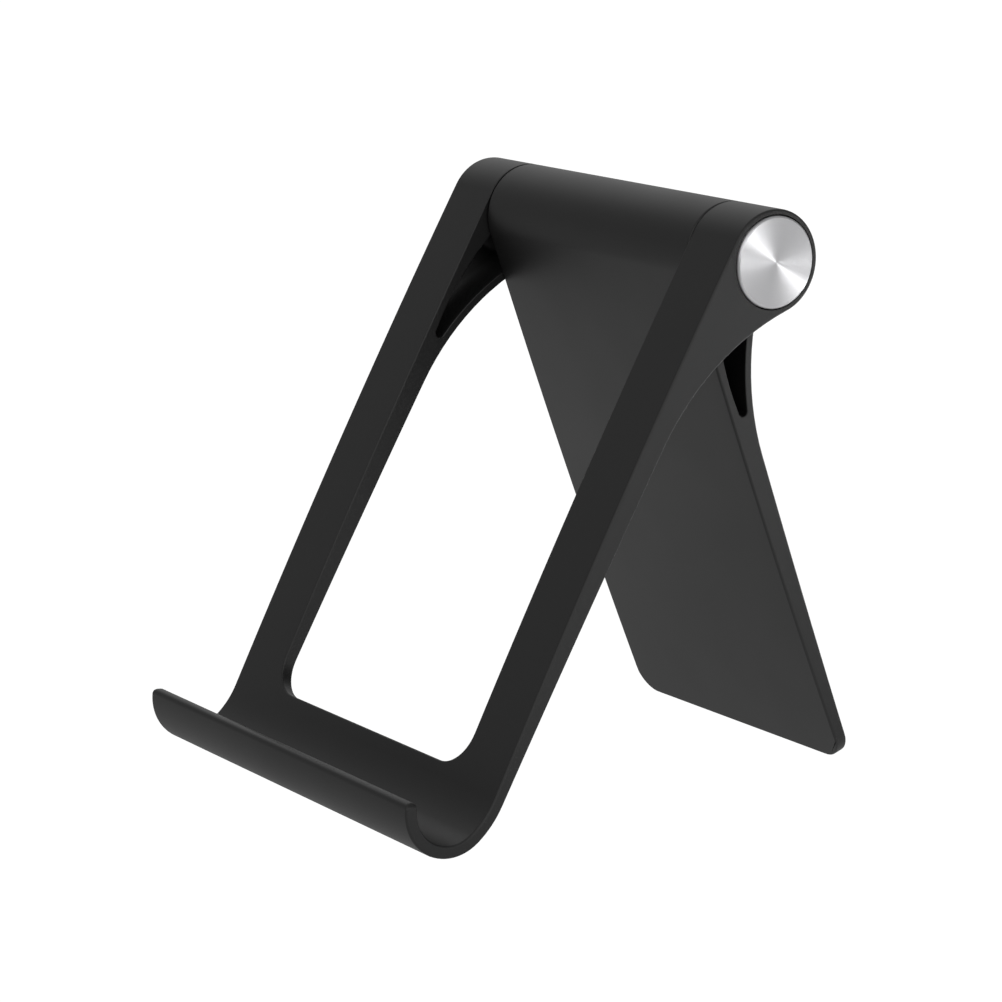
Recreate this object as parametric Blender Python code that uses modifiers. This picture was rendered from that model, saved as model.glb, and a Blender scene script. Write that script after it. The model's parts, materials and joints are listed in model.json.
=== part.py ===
"""Folding phone stand: a J-shaped front frame and a rear leg on a friction hinge.

Both mouldings are drawn in a plate frame that hangs straight down from the hinge axis:
a point is (n, s), with s measured down the plate from the axis and n towards the phone.
Two empties on the hinge axis then lean the frame back and open the leg, so that the
rubber under the hook and the rubber in the leg's lower edge both stand on z = 0.
"""

import math

import bmesh
import bpy
from mathutils import Matrix, Vector

# Driving dimensions, in metres and radians
WIDTH = 0.0800
BARREL_RADIUS = 0.0083
FRAME_LEAN = math.radians(29.5)
GAP = 0.0003

# Side profile shared by the frame's arms and the leg
FRONT_BOW_RADIUS = 1.600
REAR_BOW_RADIUS = 2.800
REAR_HEIGHT = 0.0042
GUSSET_RADIUS = 0.0440

# Front frame
WINDOW_HALF_WIDTH = 0.0286
WINDOW_BOTTOM = 0.0912
WINDOW_CORNER = 0.0059
HOOK_CENTRE = (0.0123, 0.0972)
HOOK_INNER_RADIUS = 0.0061
HOOK_OUTER_RADIUS = 0.00815
HOOK_SWEEP = math.radians(155)
LIP_LENGTH = 0.0010
HOOK_INNER_BLEND = 0.0140
HOOK_OUTER_BLEND = 0.0160

# Rear leg
LEG_HALF_WIDTH = 0.0283
LEG_LENGTH = 0.0903
LEG_CORNER = 0.0045
TIP_ROUND = 0.0005

# Lightening pockets in the side faces
POCKET_FRONT_CENTRE = (-0.0418, 0.0202)
POCKET_FRONT_RADIUS = 0.0485
POCKET_REAR_WALL = 0.0014
POCKET_BOSS_RADIUS = 0.0076
POCKET_END = 0.0253
ARM_POCKET_DEPTH = 0.0080
LEG_POCKET_DEPTH = 0.0120

# Rubber that meets the surface
STRIP_HALF_LENGTH = 0.0370
STRIP_HALF_ANGLE = math.radians(16)
STRIP_GROOVE = 0.00075
STRIP_PROUD = 0.0002
BEAD_RADIUS = 0.00045
BEAD_PROUD = 0.00065
BEAD_DEPTH = 0.0009
BEAD_HALF_LENGTH = 0.0215
BEAD_CLEARANCE = 0.0002

# Silicone pad in the trough
PAD_HALF_LENGTH = 0.0235
PAD_THICKNESS = 0.0008
PAD_START = math.radians(32)
PAD_END = math.radians(128)

# Hinge hardware: radii
BOLT_RADIUS = 0.0020
BOLT_HEAD_RADIUS = 0.0035
SOCKET_RADIUS = 0.00173
NUT_RADIUS = 0.00404
WASHER_RADIUS = 0.0040
SPRING_RADIUS = 0.0040
CLEAR_RADIUS = BOLT_RADIUS + GAP
COUNTERBORE_RADIUS = 0.0048
BARREL_BORE = 0.0039
BUSH_RADIUS = 0.0036
BUSH_FLANGE_RADIUS = 0.0046
FLANGE_BORE = 0.0049
TUBE_RADIUS = 0.0034
FRICTION_RADIUS = 0.0061
FRICTION_BORE = 0.0064
CAP_RADIUS = 0.00725
CAP_RECESS_RADIUS = 0.00755
CAP_CHAMFER = 0.0003

# Hinge hardware: distances from the middle of the barrel, along the axis
TUBE_END = 0.0174
BUSH_INNER = 0.0177
FLANGE_FLOOR = 0.0257
BUSH_OUTER = 0.0266
FRICTION_FLOOR = 0.0269
FRICTION_INNER = 0.0272
FRICTION_OUTER = 0.0283
COUNTERBORE_FLOOR = 0.0312
SPRING_INNER = 0.0315
SPRING_OUTER = 0.0323
SPRING_THICKNESS = 0.0004
WASHER_INNER = 0.0326
WASHER_OUTER = 0.0334
HEAD_INNER = 0.0337
HEAD_OUTER = 0.0376
SOCKET_FLOOR = 0.0354
CAP_RECESS_FLOOR = 0.0379
ADHESIVE_INNER = 0.0382
ADHESIVE_OUTER = 0.0385
CAP_INNER = 0.0388
CAP_OUTER = 0.0404

# Facets
BARREL_SIDES = 48
HARDWARE_SIDES = 24
BARREL_STEPS = 30
GUSSET_STEPS = 12
FRONT_STEPS = 10
REAR_STEPS = 4
BLEND_STEPS = 4
HOOK_STEPS = 20
CORNER_STEPS = 6
TIP_STEPS = 3
POCKET_STEPS = 6
STRIP_STEPS = 4
PAD_STEPS = 12
BEAD_STEPS = 8

# How far cutters reach past what they cut, and through the plate
MARGIN = 0.002
PLATE_REACH = 0.015
SHARP_ANGLE = math.radians(30)
WELD_DISTANCE = 1e-6

SIDES = (("left", -1), ("right", 1))
PLATE_AXES = Matrix(((0, 0, 1, 0), (-1, 0, 0, 0), (0, -1, 0, 0), (0, 0, 0, 1)))


def arc(centre, radius, start, end, steps):
    """Points (n, s) on a circle; an angle of 0 points to -n (the back) and 90 degrees to +s (down)."""
    angles = [start + (end - start) * i / steps for i in range(steps + 1)]
    return [(centre[0] - radius * math.cos(a), centre[1] + radius * math.sin(a)) for a in angles]


def bearing(centre, point):
    """The angle that arc() gives to a point seen from a centre, between -90 and 270 degrees."""
    angle = math.atan2(point[1] - centre[1], centre[0] - point[0])
    return angle if angle > -math.pi / 2 else angle + 2 * math.pi


def circles_meet(centre_a, radius_a, centre_b, radius_b, side):
    """Where two circles cross, on the left (+1) or right (-1) of the way from a to b."""
    a, b = Vector(centre_a), Vector(centre_b)
    gap = (b - a).length
    along = (gap * gap + radius_a * radius_a - radius_b * radius_b) / (2 * gap)
    across = math.sqrt(radius_a * radius_a - along * along)
    way = (b - a) / gap
    return tuple(a + way * along + side * across * Vector((-way.y, way.x)))


def front_at(s):
    """n of the bowed front face, which touches the barrel at s = 0."""
    return BARREL_RADIUS - FRONT_BOW_RADIUS + math.sqrt(FRONT_BOW_RADIUS**2 - s * s)


def rear_at(s):
    """n of the rear face past the gusset."""
    return REAR_HEIGHT - REAR_BOW_RADIUS + math.sqrt(REAR_BOW_RADIUS**2 - (s - GUSSET_CENTRE[1]) ** 2)


# The gusset circle touches the barrel from outside and the rear face at its highest point
GUSSET_CENTRE = (
    REAR_HEIGHT - GUSSET_RADIUS,
    math.sqrt((BARREL_RADIUS + REAR_HEIGHT) * (BARREL_RADIUS - REAR_HEIGHT + 2 * GUSSET_RADIUS)),
)
GUSSET_BEARING = bearing((0, 0), GUSSET_CENTRE)


def barrel_and_gusset():
    """From the front face's tangent point over the barrel and down the gusset to the rear face."""
    over_the_top = arc((0, 0), BARREL_RADIUS, math.pi, 2 * math.pi + GUSSET_BEARING, BARREL_STEPS)
    fillet = arc(GUSSET_CENTRE, GUSSET_RADIUS, GUSSET_BEARING + math.pi, math.pi, GUSSET_STEPS)
    return over_the_top + fillet[1:]


def front_face(s_from):
    """The bowed front face from below s_from up to, and without, its tangent point on the barrel."""
    stations = [s_from * (1 - i / FRONT_STEPS) for i in range(1, FRONT_STEPS)]
    return [(front_at(s), s) for s in stations]


def rear_face(s_to):
    """The rear face from below the gusset down to, and without, s_to."""
    first = GUSSET_CENTRE[1]
    stations = [first + (s_to - first) * i / REAR_STEPS for i in range(1, REAR_STEPS)]
    return [(rear_at(s), s) for s in stations]


def hook_blend(bow_centre, bow_radius, blend_radius, hook_radius):
    """The arc that eases a plate face into the hook: its points, and the bearing where the hook begins."""
    centre = circles_meet(bow_centre, bow_radius + blend_radius, HOOK_CENTRE, blend_radius - hook_radius, -1)
    start, end = bearing(centre, bow_centre), bearing(centre, HOOK_CENTRE)
    return arc(centre, blend_radius, start, end, BLEND_STEPS), end


def frame_outline():
    """Side view of the front frame: barrel, plate, hook and its straight lip."""
    rear_bow_centre = (REAR_HEIGHT - REAR_BOW_RADIUS, GUSSET_CENTRE[1])
    front_bow_centre = (BARREL_RADIUS - FRONT_BOW_RADIUS, 0)
    outer_blend, outer_end = hook_blend(rear_bow_centre, REAR_BOW_RADIUS, HOOK_OUTER_BLEND, HOOK_OUTER_RADIUS)
    inner_blend, inner_end = hook_blend(
        front_bow_centre, FRONT_BOW_RADIUS, HOOK_INNER_BLEND, HOOK_INNER_RADIUS
    )
    outer_hook = arc(HOOK_CENTRE, HOOK_OUTER_RADIUS, outer_end, HOOK_SWEEP, HOOK_STEPS)
    inner_hook = arc(HOOK_CENTRE, HOOK_INNER_RADIUS, HOOK_SWEEP, inner_end, HOOK_STEPS)
    rise = (LIP_LENGTH * math.sin(HOOK_SWEEP), LIP_LENGTH * math.cos(HOOK_SWEEP))
    lip = [(n + rise[0], s + rise[1]) for n, s in (outer_hook[-1], inner_hook[0])]
    hook = outer_blend + outer_hook[1:] + lip + inner_hook + inner_blend[::-1][1:]
    return barrel_and_gusset() + rear_face(outer_blend[0][1]) + hook + front_face(inner_blend[0][1])


def leg_outline():
    """Side view of the leg: barrel, panel and a tip whose two edges are rounded."""
    tip = LEG_LENGTH - TIP_ROUND
    rear_centre = (rear_at(tip) + TIP_ROUND, tip)
    front_centre = (front_at(tip) - TIP_ROUND, tip)
    rear_corner = arc(rear_centre, TIP_ROUND, 0, math.pi / 2, TIP_STEPS)
    front_corner = arc(front_centre, TIP_ROUND, math.pi / 2, math.pi, TIP_STEPS)
    return barrel_and_gusset() + rear_face(tip) + rear_corner + front_corner + front_face(tip)


def pocket_outline():
    """The leaf-shaped pocket between the front wall, the gusset wall and the hinge boss."""
    rear_radius = GUSSET_RADIUS + POCKET_REAR_WALL
    front_tip_height = POCKET_FRONT_CENTRE[0] + math.sqrt(
        POCKET_FRONT_RADIUS**2 - (POCKET_END - POCKET_FRONT_CENTRE[1]) ** 2
    )
    rear_tip_height = GUSSET_CENTRE[0] + math.sqrt(rear_radius**2 - (POCKET_END - GUSSET_CENTRE[1]) ** 2)
    front_tip, rear_tip = (front_tip_height, POCKET_END), (rear_tip_height, POCKET_END)
    tip_centre = ((front_tip_height + rear_tip_height) / 2, POCKET_END)
    boss_front = circles_meet((0, 0), POCKET_BOSS_RADIUS, POCKET_FRONT_CENTRE, POCKET_FRONT_RADIUS, -1)
    boss_rear = circles_meet((0, 0), POCKET_BOSS_RADIUS, GUSSET_CENTRE, rear_radius, -1)
    front_wall = arc(
        POCKET_FRONT_CENTRE,
        POCKET_FRONT_RADIUS,
        bearing(POCKET_FRONT_CENTRE, boss_front),
        bearing(POCKET_FRONT_CENTRE, front_tip),
        POCKET_STEPS,
    )
    tip = arc(tip_centre, (front_tip_height - rear_tip_height) / 2, math.pi, 0, POCKET_STEPS)
    rear_start, rear_end = bearing(GUSSET_CENTRE, rear_tip), bearing(GUSSET_CENTRE, boss_rear)
    rear_wall = arc(GUSSET_CENTRE, rear_radius, rear_start, rear_end, POCKET_STEPS)
    boss_start, boss_end = bearing((0, 0), boss_rear), bearing((0, 0), boss_front)
    boss = arc((0, 0), POCKET_BOSS_RADIUS, boss_start, boss_end, POCKET_STEPS)
    return front_wall + tip[1:-1] + rear_wall + boss[1:-1]


def corner(centre, radius):
    """A quarter circle in the front view (x, s), from its side to its lowest point."""
    angles = [math.pi / 2 * i / CORNER_STEPS for i in range(CORNER_STEPS + 1)]
    return [(centre[0] + radius * math.cos(a), centre[1] + radius * math.sin(a)) for a in angles]


def window_outline():
    """Front view (x, s) of the window, which hangs from above the barrel, with rounded lower corners."""
    right = corner((WINDOW_HALF_WIDTH - WINDOW_CORNER, WINDOW_BOTTOM - WINDOW_CORNER), WINDOW_CORNER)
    left = [(-x, s) for x, s in reversed(right)]
    top = -2 * BARREL_RADIUS
    return [(WINDOW_HALF_WIDTH, top)] + right + left + [(-WINDOW_HALF_WIDTH, top)]


def leg_corner_outline(side):
    """Front view (x, s) of what is taken off one lower corner of the leg to round it."""
    centre = (LEG_HALF_WIDTH - LEG_CORNER, LEG_LENGTH - LEG_CORNER)
    outside = [
        (centre[0], LEG_LENGTH + MARGIN),
        (LEG_HALF_WIDTH + MARGIN, LEG_LENGTH + MARGIN),
        (LEG_HALF_WIDTH + MARGIN, centre[1]),
    ]
    return [(side * x, s) for x, s in corner(centre, LEG_CORNER) + outside]


def clear_scene():
    for obj in list(bpy.data.objects):
        bpy.data.objects.remove(obj)


def new_collection(name):
    collection = bpy.data.collections.new(name)
    bpy.context.scene.collection.children.link(collection)
    return collection


def material(name, colour, roughness, metallic=0.0):
    made = bpy.data.materials.new(name)
    made.use_nodes = True
    shader = made.node_tree.nodes["Principled BSDF"]
    shader.inputs["Base Color"].default_value = (*colour, 1.0)
    shader.inputs["Roughness"].default_value = roughness
    shader.inputs["Metallic"].default_value = metallic
    return made


def solid_from(source, name, placing, collection):
    """What a curve or a modifier makes, as a plain welded solid; the source is removed."""
    depsgraph = bpy.context.evaluated_depsgraph_get()
    mesh = bpy.data.meshes.new_from_object(source.evaluated_get(depsgraph))
    bpy.data.objects.remove(source)
    mesh.transform(placing)
    build = bmesh.new()
    build.from_mesh(mesh)
    bmesh.ops.remove_doubles(build, verts=build.verts, dist=WELD_DISTANCE)
    bmesh.ops.recalc_face_normals(build, faces=build.faces)
    build.to_mesh(mesh)
    build.free()
    mesh.shade_smooth()
    mesh.set_sharp_from_angle(angle=SHARP_ANGLE)
    mesh.name = name
    solid = bpy.data.objects.new(name, mesh)
    collection.objects.link(solid)
    return solid


def extruded(name, outline, depth, placing, collection):
    """A flat outline as a 2D curve, extruded both ways."""
    curve = bpy.data.curves.new(name, "CURVE")
    curve.dimensions = "2D"
    curve.fill_mode = "BOTH"
    curve.extrude = depth / 2
    spline = curve.splines.new("POLY")
    spline.points.add(len(outline) - 1)
    for point, (u, v) in zip(spline.points, outline):
        point.co = (u, v, 0, 1)
    spline.use_cyclic_u = True
    source = bpy.data.objects.new(name + "_outline", curve)
    collection.objects.link(source)
    return solid_from(source, name, placing, collection)


def along_axis(name, outline, x_from, x_to, collection):
    """A side outline (n, s), solid between two distances along the hinge axis."""
    placing = Matrix.Translation(((x_from + x_to) / 2, 0, 0)) @ PLATE_AXES
    return extruded(name, outline, abs(x_to - x_from), placing, collection)


def through_plate(name, outline, collection):
    """A front outline (x, s), solid right through the plate."""
    return extruded(name, outline, 2 * PLATE_REACH, Matrix.Rotation(-math.pi / 2, 4, "X"), collection)


def turned(name, profile, side, sides, collection):
    """A solid of revolution on the hinge axis, on the right (side 1) or the left (side -1).

    The profile's (distance from the middle, radius) points run down its outer side, from the
    far end towards the middle. A profile that starts off the axis is a closed ring section.
    """
    count = len(profile)
    edges = [(i, i + 1) for i in range(count - 1)]
    if profile[0][1] > 0:
        edges.append((count - 1, 0))
    mesh = bpy.data.meshes.new(name)
    mesh.from_pydata([(radius, 0, x) for x, radius in profile], edges, [])
    source = bpy.data.objects.new(name + "_profile", mesh)
    collection.objects.link(source)
    screw = source.modifiers.new("turn", "SCREW")
    screw.axis = "Z"
    screw.steps = sides
    screw.render_steps = sides
    screw.use_merge_vertices = True
    screw.merge_threshold = WELD_DISTANCE
    return solid_from(source, name, Matrix.Rotation(side * math.pi / 2, 4, "Y"), collection)


def cut(target, cutter):
    """Take the cutter's solid away from the target."""
    cutter.hide_render = True
    cutter.display_type = "WIRE"
    modifier = target.modifiers.new(cutter.name, "BOOLEAN")
    modifier.operation = "DIFFERENCE"
    modifier.solver = "EXACT"
    modifier.object = cutter


def ring_section(x_from, x_to, inner, outer):
    return [(x_to, inner), (x_to, outer), (x_from, outer), (x_from, inner)]


def place(obj, pivot, finish):
    """Hang a finished sub-part, and what cuts it, on its pivot, and give it its material."""
    obj.parent = pivot
    for modifier in obj.modifiers:
        modifier.object.parent = pivot
    obj.data.materials.clear()
    obj.data.materials.append(finish)


def pivot_on_axis(name, angle, location, collection):
    pivot = bpy.data.objects.new(name, None)
    pivot.rotation_euler = (angle, 0, 0)
    pivot.location = location
    collection.objects.link(pivot)
    return pivot


def make_front_frame(parts, cutters):
    frame = along_axis("front_frame", frame_outline(), -WIDTH / 2, WIDTH / 2, parts)
    cut(frame, through_plate("window_cutter", window_outline(), cutters))
    end, opening = WIDTH / 2 + MARGIN, WINDOW_HALF_WIDTH - MARGIN
    ear_bore = [
        (end, 0),
        (end, CAP_RECESS_RADIUS),
        (CAP_RECESS_FLOOR, CAP_RECESS_RADIUS),
        (CAP_RECESS_FLOOR, COUNTERBORE_RADIUS),
        (COUNTERBORE_FLOOR, COUNTERBORE_RADIUS),
        (COUNTERBORE_FLOOR, CLEAR_RADIUS),
        (opening, CLEAR_RADIUS),
        (opening, 0),
    ]
    pocket_floor = WINDOW_HALF_WIDTH + ARM_POCKET_DEPTH
    for label, side in SIDES:
        cut(frame, turned(f"{label}_ear_cutter", ear_bore, side, BARREL_SIDES, cutters))
        pocket_name = f"{label}_arm_pocket_cutter"
        cut(frame, along_axis(pocket_name, pocket_outline(), side * opening, side * pocket_floor, cutters))
    groove = strip_section(HOOK_OUTER_RADIUS - STRIP_GROOVE, HOOK_OUTER_RADIUS + MARGIN, STRIP_HALF_ANGLE)
    groove_half = STRIP_HALF_LENGTH + GAP
    cut(frame, along_axis("strip_groove_cutter", groove, -groove_half, groove_half, cutters))
    return frame


def strip_section(inner, outer, half_angle):
    """A sector of the hook, centred on the direction that points straight down."""
    down = math.pi / 2 - FRAME_LEAN
    inside = arc(HOOK_CENTRE, inner, down - half_angle, down + half_angle, STRIP_STEPS)
    outside = arc(HOOK_CENTRE, outer, down + half_angle, down - half_angle, STRIP_STEPS)
    return inside + outside


def make_hook_foot_strip(parts):
    """Rubber strip in the hook's groove, with a flat land that lies level on the table."""
    down = math.pi / 2 - FRAME_LEAN
    half_width = HOOK_OUTER_RADIUS * math.sin(STRIP_HALF_ANGLE) - GAP
    inner = HOOK_OUTER_RADIUS - STRIP_GROOVE + GAP
    reach = HOOK_OUTER_RADIUS + STRIP_PROUD
    edge = math.asin(half_width / inner)
    land = math.atan2(half_width, reach)
    inside = arc(HOOK_CENTRE, inner, down - edge, down + edge, STRIP_STEPS)
    corners = arc(HOOK_CENTRE, math.hypot(half_width, reach), down + land, down - land, 1)
    return along_axis("hook_foot_strip", inside + corners, -STRIP_HALF_LENGTH, STRIP_HALF_LENGTH, parts)


def make_hook_pad(parts):
    inner = HOOK_INNER_RADIUS - GAP - PAD_THICKNESS
    outer = HOOK_INNER_RADIUS - GAP
    top = arc(HOOK_CENTRE, inner, PAD_START, PAD_END, PAD_STEPS)
    underside = arc(HOOK_CENTRE, outer, PAD_END, PAD_START, PAD_STEPS)
    return along_axis("hook_pad", top + underside, -PAD_HALF_LENGTH, PAD_HALF_LENGTH, parts)


def bead_centre():
    """Centre of the rubber bead's round edge, midway through the leg's thickness."""
    return ((front_at(LEG_LENGTH) + rear_at(LEG_LENGTH)) / 2, LEG_LENGTH + BEAD_PROUD - BEAD_RADIUS)


def make_rear_leg(parts, cutters):
    leg = along_axis("rear_leg", leg_outline(), -LEG_HALF_WIDTH, LEG_HALF_WIDTH, parts)
    end = LEG_HALF_WIDTH + MARGIN
    half_bore = [
        (end, FRICTION_BORE),
        (FRICTION_FLOOR, FRICTION_BORE),
        (FRICTION_FLOOR, FLANGE_BORE),
        (FLANGE_FLOOR, FLANGE_BORE),
        (FLANGE_FLOOR, BARREL_BORE),
    ]
    other_half = [(-x, radius) for x, radius in reversed(half_bore)]
    bore = [(end, 0)] + half_bore + other_half + [(-end, 0)]
    cut(leg, turned("barrel_cutter", bore, 1, BARREL_SIDES, cutters))
    pocket_floor = LEG_HALF_WIDTH - LEG_POCKET_DEPTH
    for label, side in SIDES:
        cut(leg, through_plate(f"{label}_leg_corner_cutter", leg_corner_outline(side), cutters))
        pocket_name = f"{label}_leg_pocket_cutter"
        cut(leg, along_axis(pocket_name, pocket_outline(), side * pocket_floor, side * end, cutters))
    half_slot = BEAD_RADIUS + BEAD_CLEARANCE
    middle = bead_centre()[0]
    slot = [
        (middle - half_slot, LEG_LENGTH - BEAD_DEPTH),
        (middle + half_slot, LEG_LENGTH - BEAD_DEPTH),
        (middle + half_slot, LEG_LENGTH + MARGIN),
        (middle - half_slot, LEG_LENGTH + MARGIN),
    ]
    slot_half = BEAD_HALF_LENGTH + GAP
    cut(leg, along_axis("bead_slot_cutter", slot, -slot_half, slot_half, cutters))
    return leg


def make_leg_foot_strip(parts):
    centre = bead_centre()
    top = LEG_LENGTH - BEAD_DEPTH + GAP
    section = arc(centre, BEAD_RADIUS, 0, math.pi, BEAD_STEPS) + [
        (centre[0] + BEAD_RADIUS, top),
        (centre[0] - BEAD_RADIUS, top),
    ]
    return along_axis("leg_foot_strip", section, -BEAD_HALF_LENGTH, BEAD_HALF_LENGTH, parts)


def hexagon(name, radius, x_from, x_to, collection):
    outline = [(radius * math.cos(math.pi / 3 * i), radius * math.sin(math.pi / 3 * i)) for i in range(6)]
    return along_axis(name, outline, x_from, x_to, collection)


def make_hinge_bolt(parts, cutters):
    """Socket-head bolt: the head in the right ear, the thread's end in the left one."""
    profile = [
        (HEAD_OUTER, 0),
        (HEAD_OUTER, BOLT_HEAD_RADIUS),
        (HEAD_INNER, BOLT_HEAD_RADIUS),
        (HEAD_INNER, BOLT_RADIUS),
        (-HEAD_OUTER, BOLT_RADIUS),
        (-HEAD_OUTER, 0),
    ]
    bolt = turned("hinge_bolt", profile, 1, HARDWARE_SIDES, parts)
    cut(bolt, hexagon("bolt_socket_cutter", SOCKET_RADIUS, SOCKET_FLOOR, HEAD_OUTER + MARGIN, cutters))
    return bolt


def make_hinge_lock_nut(parts, cutters):
    nut = hexagon("hinge_lock_nut", NUT_RADIUS, -HEAD_OUTER, -HEAD_INNER, parts)
    bore = disc_section(HEAD_INNER - MARGIN, HEAD_OUTER + MARGIN, CLEAR_RADIUS)
    cut(nut, turned("nut_bore_cutter", bore, -1, HARDWARE_SIDES, cutters))
    return nut


def spring_section():
    """A disc spring: a thin cone, with its outer rim towards the washer."""
    return [
        (SPRING_INNER + SPRING_THICKNESS, CLEAR_RADIUS),
        (SPRING_OUTER, SPRING_RADIUS),
        (SPRING_OUTER - SPRING_THICKNESS, SPRING_RADIUS),
        (SPRING_INNER, CLEAR_RADIUS),
    ]


def bush_section():
    """A flanged sleeve: its flange sits in the barrel's end."""
    flange_start = FLANGE_FLOOR + GAP
    return [
        (BUSH_OUTER, CLEAR_RADIUS),
        (BUSH_OUTER, BUSH_FLANGE_RADIUS),
        (flange_start, BUSH_FLANGE_RADIUS),
        (flange_start, BUSH_RADIUS),
        (BUSH_INNER, BUSH_RADIUS),
        (BUSH_INNER, CLEAR_RADIUS),
    ]


def end_cap_section():
    """An aluminium disc with a turned chamfer round its outer face."""
    return [
        (CAP_OUTER, 0),
        (CAP_OUTER, CAP_RADIUS - CAP_CHAMFER),
        (CAP_OUTER - CAP_CHAMFER, CAP_RADIUS),
        (CAP_INNER, CAP_RADIUS),
        (CAP_INNER, 0),
    ]


def disc_section(x_from, x_to, radius):
    return [(x_to, 0), (x_to, radius), (x_from, radius), (x_from, 0)]


def leg_opening(axis_height):
    """The angle from vertical at which the leg's bead reaches down to z = 0."""
    n, s = bead_centre()
    return math.atan2(n, s) + math.acos((axis_height - BEAD_RADIUS) / math.hypot(n, s))


def main():
    clear_scene()
    parts = new_collection("folding_phone_stand")
    cutters = new_collection("cutters")

    hook_n, hook_s = HOOK_CENTRE
    hook_drop = hook_s * math.cos(FRAME_LEAN) - hook_n * math.sin(FRAME_LEAN)
    hook_reach = hook_s * math.sin(FRAME_LEAN) + hook_n * math.cos(FRAME_LEAN)
    axis_height = hook_drop + HOOK_OUTER_RADIUS + STRIP_PROUD
    leg_angle = leg_opening(axis_height)
    tip = LEG_LENGTH - TIP_ROUND
    tip_reach = tip * math.sin(leg_angle) - (rear_at(tip) + TIP_ROUND) * math.cos(leg_angle) + TIP_ROUND
    axis = (0, (hook_reach + HOOK_OUTER_RADIUS - tip_reach) / 2, axis_height)
    frame_pivot = pivot_on_axis("frame_pivot", -FRAME_LEAN, axis, parts)
    leg_pivot = pivot_on_axis("leg_pivot", leg_angle, axis, parts)

    black_plastic = material("black_plastic", (0.012, 0.012, 0.012), 0.5)
    leg_plastic = material("leg_plastic", (0.015, 0.015, 0.015), 0.5)
    aluminium = material("spun_aluminium", (0.80, 0.80, 0.80), 0.25, 1.0)
    steel = material("zinc_steel", (0.45, 0.45, 0.46), 0.35, 1.0)
    spring_steel = material("spring_steel", (0.20, 0.20, 0.21), 0.4, 1.0)
    acetal = material("white_acetal", (0.75, 0.75, 0.72), 0.4)
    friction = material("friction_disc", (0.25, 0.16, 0.10), 0.8)
    silicone = material("silicone_pad", (0.03, 0.03, 0.03), 0.75)
    rubber = material("foot_rubber", (0.01, 0.01, 0.01), 0.85)
    adhesive = material("adhesive", (0.60, 0.58, 0.50), 0.9)

    place(make_front_frame(parts, cutters), frame_pivot, black_plastic)
    place(make_hook_foot_strip(parts), frame_pivot, rubber)
    place(make_hook_pad(parts), frame_pivot, silicone)
    place(make_hinge_bolt(parts, cutters), frame_pivot, steel)
    place(make_hinge_lock_nut(parts, cutters), frame_pivot, steel)
    place(make_rear_leg(parts, cutters), leg_pivot, leg_plastic)
    place(make_leg_foot_strip(parts), leg_pivot, rubber)
    tube = ring_section(-TUBE_END, TUBE_END, CLEAR_RADIUS, TUBE_RADIUS)
    place(turned("spacer_tube", tube, 1, HARDWARE_SIDES, parts), leg_pivot, steel)

    washer = ring_section(WASHER_INNER, WASHER_OUTER, CLEAR_RADIUS, WASHER_RADIUS)
    friction_disc = ring_section(FRICTION_INNER, FRICTION_OUTER, CLEAR_RADIUS, FRICTION_RADIUS)
    cap_adhesive = disc_section(ADHESIVE_INNER, ADHESIVE_OUTER, CAP_RADIUS)
    pairs = (
        ("washer", washer, HARDWARE_SIDES, frame_pivot, steel),
        ("disc_spring", spring_section(), HARDWARE_SIDES, frame_pivot, spring_steel),
        ("cap_adhesive", cap_adhesive, BARREL_SIDES, frame_pivot, adhesive),
        ("end_cap", end_cap_section(), BARREL_SIDES, frame_pivot, aluminium),
        ("bush", bush_section(), HARDWARE_SIDES, leg_pivot, acetal),
        ("friction_disc", friction_disc, BARREL_SIDES, leg_pivot, friction),
    )
    for kind, section, sides, pivot, finish in pairs:
        for label, side in SIDES:
            place(turned(f"{label}_{kind}", section, side, sides, parts), pivot, finish)


main()
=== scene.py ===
import json
import math

import bmesh
import bpy
from bpy.props import FloatProperty, FloatVectorProperty, IntProperty, PointerProperty
from mathutils import Matrix, Vector


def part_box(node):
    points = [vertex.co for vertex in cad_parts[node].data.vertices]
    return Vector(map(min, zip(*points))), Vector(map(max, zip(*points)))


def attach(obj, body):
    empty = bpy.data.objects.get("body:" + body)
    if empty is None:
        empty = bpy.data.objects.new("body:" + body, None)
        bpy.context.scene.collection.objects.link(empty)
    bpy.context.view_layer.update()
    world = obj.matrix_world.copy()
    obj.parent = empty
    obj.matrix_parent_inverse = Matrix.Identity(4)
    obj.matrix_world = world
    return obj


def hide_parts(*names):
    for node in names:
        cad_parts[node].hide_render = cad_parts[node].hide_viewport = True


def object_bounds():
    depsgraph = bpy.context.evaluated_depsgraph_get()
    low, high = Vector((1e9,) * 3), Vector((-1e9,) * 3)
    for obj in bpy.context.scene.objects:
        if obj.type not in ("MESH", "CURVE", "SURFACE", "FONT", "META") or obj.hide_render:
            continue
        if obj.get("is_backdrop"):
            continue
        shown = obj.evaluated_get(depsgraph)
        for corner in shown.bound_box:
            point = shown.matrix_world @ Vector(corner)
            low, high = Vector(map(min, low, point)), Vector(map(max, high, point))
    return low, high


bl_info = {
    "name": "Folding phone stand",
    "version": (1, 0, 0),
    "blender": (4, 5, 0),
    "location": "3D View > Sidebar > Phone stand",
    "description": "Rounded mouldings, spun caps, rubber and finishes for a folding phone stand",
    "category": "Object",
}

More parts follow.
